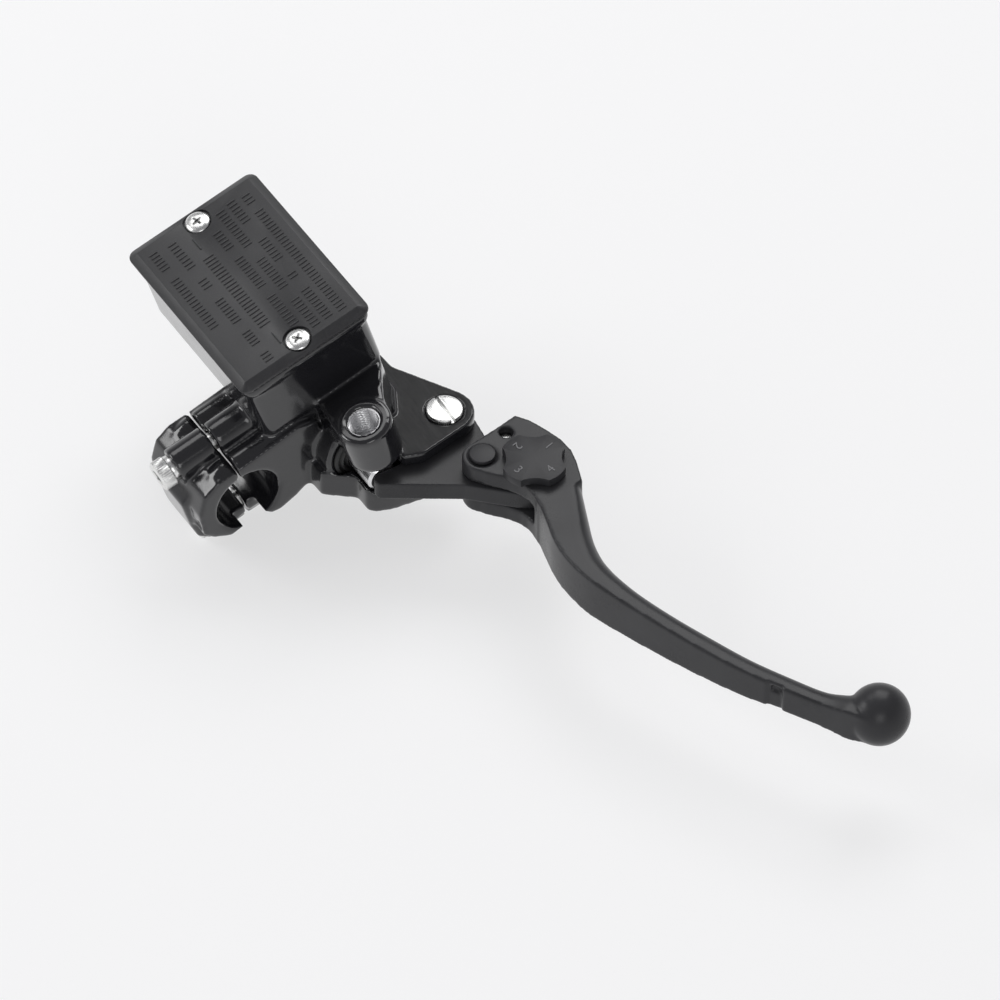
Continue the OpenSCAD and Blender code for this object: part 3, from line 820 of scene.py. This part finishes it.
def make_clamp_bolts():
    """Knurled socket screws with a spring washer under the upper head."""
    head_r, head_long, shank_long, ridges = 5.0, 6, 22, 44
    upper_z = bolt_high.z - head_r
    bolts = []
    upper_seat, lower_seat = bolt_low.y + head_long, bolt_low.y + 10
    for z, seat, washer in ((upper_z, upper_seat, 1.5), (-upper_z, lower_seat, 0.0)):
        outer = seat - head_long
        rings = []
        for y, r, knurl in ((seat + shank_long, 2.6, 0), (seat + shank_long - 2, 3.0, 0),
                            (seat - washer, 3.0, 0),
                            (seat - washer, head_r - 0.3, 0), (seat - washer - 0.3, head_r, 0.16),
                            (outer + 0.9, head_r, 0.16), (outer + 0.5, head_r - 0.1, 0),
                            (outer, head_r - 0.7, 0)):
            ring = []
            for i in range(ridges * 4):
                a = 2 * math.pi * i / (ridges * 4)
                radius = r - knurl * (0.5 - 0.5 * math.cos(a * ridges))
                ring.append((radius * math.cos(a), y, z + radius * math.sin(a)))
            rings.append(ring)
        bolt = loft("clamp_bolt", rings, TILTED)
        socket = lathe("socket", [(-0.5, 0), (-0.5, 2.9), (3.2, 2.9), (4.2, 0)],
                       (0, outer, z), (0, 1, 0), 6, TILTED)
        mouth = lathe("mouth", [(-0.5, 0), (-0.5, 3.4), (0.0, 3.1), (0.4, 2.6), (0.4, 0)],
                      (0, outer, z), (0, 1, 0), 48, TILTED)
        cut(bolt, socket, mouth)
        bolts.append(bolt)
        if washer:
            ring = lathe("washer", [(0, 3.1), (0, 4.5), (washer, 4.5), (washer, 3.1)],
                         (0, seat - washer, z), (0, 1, 0), 64, TILTED)
            gap = block("gap", (2.9, seat - washer - 1, z - 0.35), (5, seat + 1, z + 0.35), TILTED)
            cut(ring, gap)
            bevel(ring, 0.15, 2, 35)
            bolts.append(ring)
    screws = join(*bolts)
    screws.name = "clamp_bolt_pair"
    smooth(screws, 32)
    finish_with(screws, "zinc_steel", "housing", "clamp_bolts")


def make_pivot_bolt():
    low, high = box_in_mm("pivot_bolt")
    top, foot = high.z, low.z
    profile = [(foot - top, 0), (foot - top, 2.5), (foot - top + 0.6, 3), (-12.9, 3),
               (-12.9, 4), (-2.8, 4),
               (-2.8, 5.65), (-0.45, 5.7), (-0.15, 5.5), (0, 5.1), (0, 0)]
    bolt = lathe("pivot_screw", profile, (PIVOT.x, PIVOT.y, top), (0, 0, 1), 96)
    turn = Matrix.Translation((PIVOT.x, PIVOT.y, top)) @ Matrix.Rotation(math.radians(-3), 4, "Z")
    slot = block("slot", (-7, -0.6, -1.3), (7, 0.6, 1), turn)
    cut(bolt, slot)
    bevel(bolt, 0.07, 2, 50)
    smooth(bolt, 35)
    finish_with(bolt, "zinc_steel", "housing", "pivot_bolt")


# Stations of the lever blade: rear point, front point, lowest and highest of the rear face,
# and the share of its width that is flat on top
BLADE = [
    ((70, 66.4), (69.5, 85.0), -1.6, 17.6, 0.82),
    ((76, 66.3), (77, 82.2), -1.6, 17.6, 0.78),
    ((84, 64.3), (87, 78.0), -1.2, 17.2, 0.70),
    ((91, 62.4), (95.5, 74.6), -0.4, 16.5, 0.60),
    ((98, 61.5), (102.5, 73.0), 0.0, 16.2, 0.50),
    ((105, 61.7), (108, 72.7), 0.0, 16.2, 0.42),
    ((113, 63.1), (114, 73.3), 0.0, 16.0, 0.36),
    ((125, 66.8), (122.5, 75.0), 0.6, 15.5, 0.32),
    ((138, 71.4), (134.5, 78.8), 1.0, 14.9, 0.30),
    ((151, 76.4), (147.5, 83.7), 1.6, 14.3, 0.30),
    ((164, 82.1), (160.5, 88.9), 2.2, 13.8, 0.30),
    ((176, 88.6), (172.2, 95.0), 2.8, 13.2, 0.30),
    ((186, 94.2), (182.2, 100.6), 2.9, 13.1, 0.28),
    ((191, 97.0), (186.4, 104.8), 2.5, 13.5, 0.24),
    ((196, 99.9), (189.6, 109.0), 1.8, 14.2, 0.20),
    ((200.5, 103.0), (193.5, 113.0), 2.8, 13.2, 0.16),
]


def blend_stations(stations, between):
    """More stations on a smooth curve through the given ones."""
    rows = np.array([[*a, *b, *rest] for a, b, *rest in stations], float)
    out = []
    for i in range(len(rows) - 1):
        before, start = rows[max(i - 1, 0)], rows[i]
        end, after = rows[i + 1], rows[min(i + 2, len(rows) - 1)]
        for k in range(between):
            t = k / between
            out.append(0.5 * (2 * start + (end - before) * t
                              + (2 * before - 5 * start + 4 * end - after) * t ** 2
                              + (3 * start - before - 3 * end + after) * t ** 3))
    out.append(rows[-1])
    return out


def blade_ring(row, arc=10):
    """One cross-section: flat at the rear, a flat strip on top and below, and a convex front."""
    rear, front, low, high, flat = row[0:2], row[2:4], row[4], row[5], row[6]
    middle, half = (low + high) / 2, (high - low) / 2
    side = [(0.0, 1.0), (flat * 0.5, 1.0), (flat, 1.0)]
    for i in range(1, arc + 1):
        a = math.pi / 2 * i / arc
        side.append((flat + (1 - flat) * math.sin(a) ** 0.9, math.cos(a) ** 0.9))
    upper = side[:-1]
    lower = [(u, -v) for u, v in reversed(upper)]
    ring = []
    for u, v in upper + [side[-1]] + lower:
        spot = rear + (front - rear) * min(u, 1.0)
        ring.append((spot[0], spot[1], middle + half * v))
    return ring


def make_lever():
    ball_high = box_in_mm("lever_blade")[1]
    ball_r = 9.6
    centre = (ball_high.x - ball_r, ball_high.y - ball_r, LEVER_MIDDLE)
    lever = copy_of("lever", "lever_blade")
    cut(lever, block("far_half", (77, 40, -20), (220, 140, 40)))
    blade = loft("blade", [blade_ring(row) for row in blend_stations(BLADE, 5)])
    cut(blade, block("slot_space", (60, 50, 4.4), (74, 95, 11.6)))
    ball = lathe("ball", [(-ball_r * math.cos(math.pi * i / 32), ball_r * math.sin(math.pi * i / 32))
                          for i in range(33)], centre, (0, 0, 1), 64)
    add(lever, blade, ball)
    # the bores that the dial's stem turns in: wide above the slot of the fork, narrow below it
    upper_r, lower_r = 5.5 + BORE_ROOM, 3.0 + BORE_ROOM
    profile = [(-20, 0), (-20, lower_r), (0, lower_r), (0, upper_r), (20, upper_r), (20, 0)]
    stem_space = lathe("stem_space", profile, (DIAL.x, DIAL.y, LEVER_MIDDLE), (0, 0, 1), 96)
    # the pin's seat and the break-away notch
    seat = lathe("seat", [(0, 0), (0, 4.7), (3, 4.7), (3, 0)],
                 (PIN.x, PIN.y, FORK_TOP - 0.7), (0, 0, 1), 48)
    notch = Matrix.Translation((174.3, 87.5, 0)) @ Matrix.Rotation(math.radians(30), 4, "Z")
    groove = block("groove", (-2.6, -3, -5), (2.6, 0.9, 30), notch)
    pocket = block("pocket", (-1.5, -1, 9.2), (1.7, 2.0, 12.0), notch)
    cut(lever, stem_space, seat, groove, pocket)
    soften(lever, 0.4, 16)
    finish_with(lever, "anodised_lever", "lever", "lever_blade")


def make_lever_pin():
    low, high = box_in_mm("lever_pin")
    top = high.z
    groove = -FORK_TOP - 1.2
    profile = [(low.z - top, 0), (low.z - top, 2.6), (low.z - top + 0.4, 3), (groove, 3), (groove, 2.3),
               (groove + 0.9, 2.3), (groove + 0.9, 3), (-1.1, 3), (-1.1, 4),
               (-0.3, 4), (-0.08, 3.9), (0, 3.6), (0, 0)]
    pin = lathe("fork_pin", profile, (PIN.x, PIN.y, top), (0, 0, 1), 72)
    smooth(pin, 35)
    finish_with(pin, "anodised_dial", "lever", "lever_pin")


def make_stop_pin():
    """The stop pin, seen deep in its hole."""
    low, high = box_in_mm("stop_pin")
    middle = (low + high) / 2
    profile = [(0, 0), (0, 1.8), (0.3, 2.1), (high.z - low.z - 1.8, 2.1), (high.z - low.z - 1.4, 1.7),
               (high.z - low.z - 1.3, 0)]
    pin = lathe("lever_stop", profile, (middle.x, middle.y, low.z), (0, 0, 1), 48)
    smooth(pin, 35)
    finish_with(pin, "zinc_steel", "lever", "stop_pin")


def make_dial():
    """The reach dial: a disc with four scallops on its stem; the numbers between the scallops are a
    piece of their own.
    """
    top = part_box("adjuster_dial")[1].z / MM
    radius, thick = 10.5, 2.9
    scoop_r, scoop_from_middle, first_scoop = 9, 17.5, -121
    disc = lathe("dial", [(-thick, 0), (-thick, radius), (0, radius), (0, 0)],
                 (DIAL.x, DIAL.y, top), (0, 0, 1), 128)
    for quarter in range(4):
        a = math.radians(first_scoop + 90 * quarter)
        spot = (DIAL.x + scoop_from_middle * math.cos(a),
                DIAL.y + scoop_from_middle * math.sin(a), top - thick)
        scoop = lathe("scoop", [(-1, 0), (-1, scoop_r), (thick + 1, scoop_r), (thick + 1, 0)],
                      spot, (0, 0, 1), 128)
        cut(disc, scoop)
    bevel(disc, 0.35, 3, 35)
    stem = copy_of("stem", "adjuster_dial")
    cut(stem, block("disc_space", (40, 50, top - thick - 0.05), (90, 95, 30)))
    dial = join(disc, stem)
    dial.name = "reach_dial"
    smooth(dial, 32)
    finish_with(dial, "anodised_dial", "dial", "adjuster_dial")


def make_dial_numbers():
    """Raised numbers, worn lighter than the dial; 3 faces the rider, 4 the lever's tip."""
    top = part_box("adjuster_dial")[1].z / MM
    size, relief, from_middle, first = 4.2, 0.12, 7.0, 104
    digits = []
    for number in range(4):
        a = math.radians(first + 90 * number)
        curve = bpy.data.curves.new("digit", "FONT")
        curve.body = str(number + 1)
        curve.size = size * MM
        curve.extrude = relief * MM
        curve.offset = -0.02 * MM
        curve.align_x, curve.align_y = "CENTER", "CENTER"
        digit = link("digit", curve)
        bpy.context.view_layer.update()
        graph = bpy.context.evaluated_depsgraph_get()
        mesh = bpy.data.meshes.new_from_object(digit.evaluated_get(graph))
        bpy.data.objects.remove(digit)
        spot = Vector((DIAL.x + from_middle * math.cos(a), DIAL.y + from_middle * math.sin(a),
                       top + 0.04)) * MM
        mesh.transform(Matrix.Translation(spot) @ Matrix.Rotation(a + math.pi / 2, 4, "Z"))
        digits.append(link("digit", mesh))
    numbers = join(*digits)
    numbers.name = "dial_numbers"
    smooth(numbers, 32)
    finish_with(numbers, "anodised_dial", "dial")
    numbers.data.materials[0] = anodised("worn_numbers", (0.16, 0.16, 0.165), 0.45)


def make_boot():
    """The bellows of the dust boot in the cylinder's mouth."""
    low, high = box_in_mm("dust_boot")
    middle = (low + high) / 2
    start = low.x
    profile = [(0, 5.6), (0, 9.0), (4.9, 9.0), (4.9, 9.6), (5.6, 9.6), (5.9, 9.3), (5.9, 8.6),
               (5.3, 8.3), (5.0, 8.0), (5.2, 7.7), (6.0, 7.5), (6.3, 7.1), (6.0, 6.7), (5.2, 6.5),
               (5.0, 6.2), (5.4, 5.8), (6.0, 5.5), (6.0, 5.25), (5.4, 5.25), (3.8, 5.6)]
    boot = lathe("boot", profile, (start, middle.y, middle.z), (1, 0, 0), 96)
    smooth(boot, 50)
    finish_with(boot, "black_rubber", "housing", "dust_boot")


def make_spring():
    """The return spring: a coil of round wire along the piston's axis."""
    low, high = box_in_mm("return_spring")
    middle = (low + high) / 2
    wire, turns, per_turn, sides = 0.6, 6, 24, 10
    coil = (high.y - low.y) / 2 - wire
    points, faces = [], []
    count = turns * per_turn
    for i in range(count + 1):
        a = 2 * math.pi * i / per_turn
        x = low.x + wire + (high.x - low.x - 2 * wire) * i / count
        for k in range(sides):
            b = 2 * math.pi * k / sides
            r = coil + wire * math.cos(b)
            points.append((x + wire * math.sin(b), middle.y + r * math.cos(a),
                           middle.z + r * math.sin(a)))
    for i in range(count):
        for k in range(sides):
            m = (k + 1) % sides
            faces.append([i * sides + k, i * sides + m, (i + 1) * sides + m, (i + 1) * sides + k])
    faces.append(list(range(sides)))
    faces.append([count * sides + k for k in range(sides)])
    spring = make("piston_spring", points, faces)
    smooth(spring, 60)
    finish_with(spring, "spring_steel", "housing", "return_spring")
    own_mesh(spring)


def refine(node, name, width, angle=35):
    """A CAD node with its sharp edges broken."""
    obj = copy_of(name, node)
    bevel(obj, width, 2, angle)
    smooth(obj, 35)
    body = frame["nodes"][node]["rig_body"]
    finish_with(obj, SLOTS[node], body, node)


def make_knocker():
    arm = copy_of("inner_arm", "knocker")
    soften(arm, 0.35, 6)
    finish_with(arm, "anodised_lever", "knocker_arm", "knocker")


make_casting()
make_clamp_cap()
make_mirror_thread()
make_reservoir_cap()
make_cap_marks()
make_cap_screws()
make_clamp_bolts()
make_pivot_bolt()
make_knocker()
make_lever()
make_lever_pin()
make_stop_pin()
make_dial()
make_dial_numbers()
make_boot()
make_spring()
refine("pivot_nut", "lock_nut", 0.25)
refine("brake_switch", "switch_case", 0.3)
refine("switch_plunger", "switch_button", 0.1)
refine("switch_screw", "switch_fastener", 0.1)
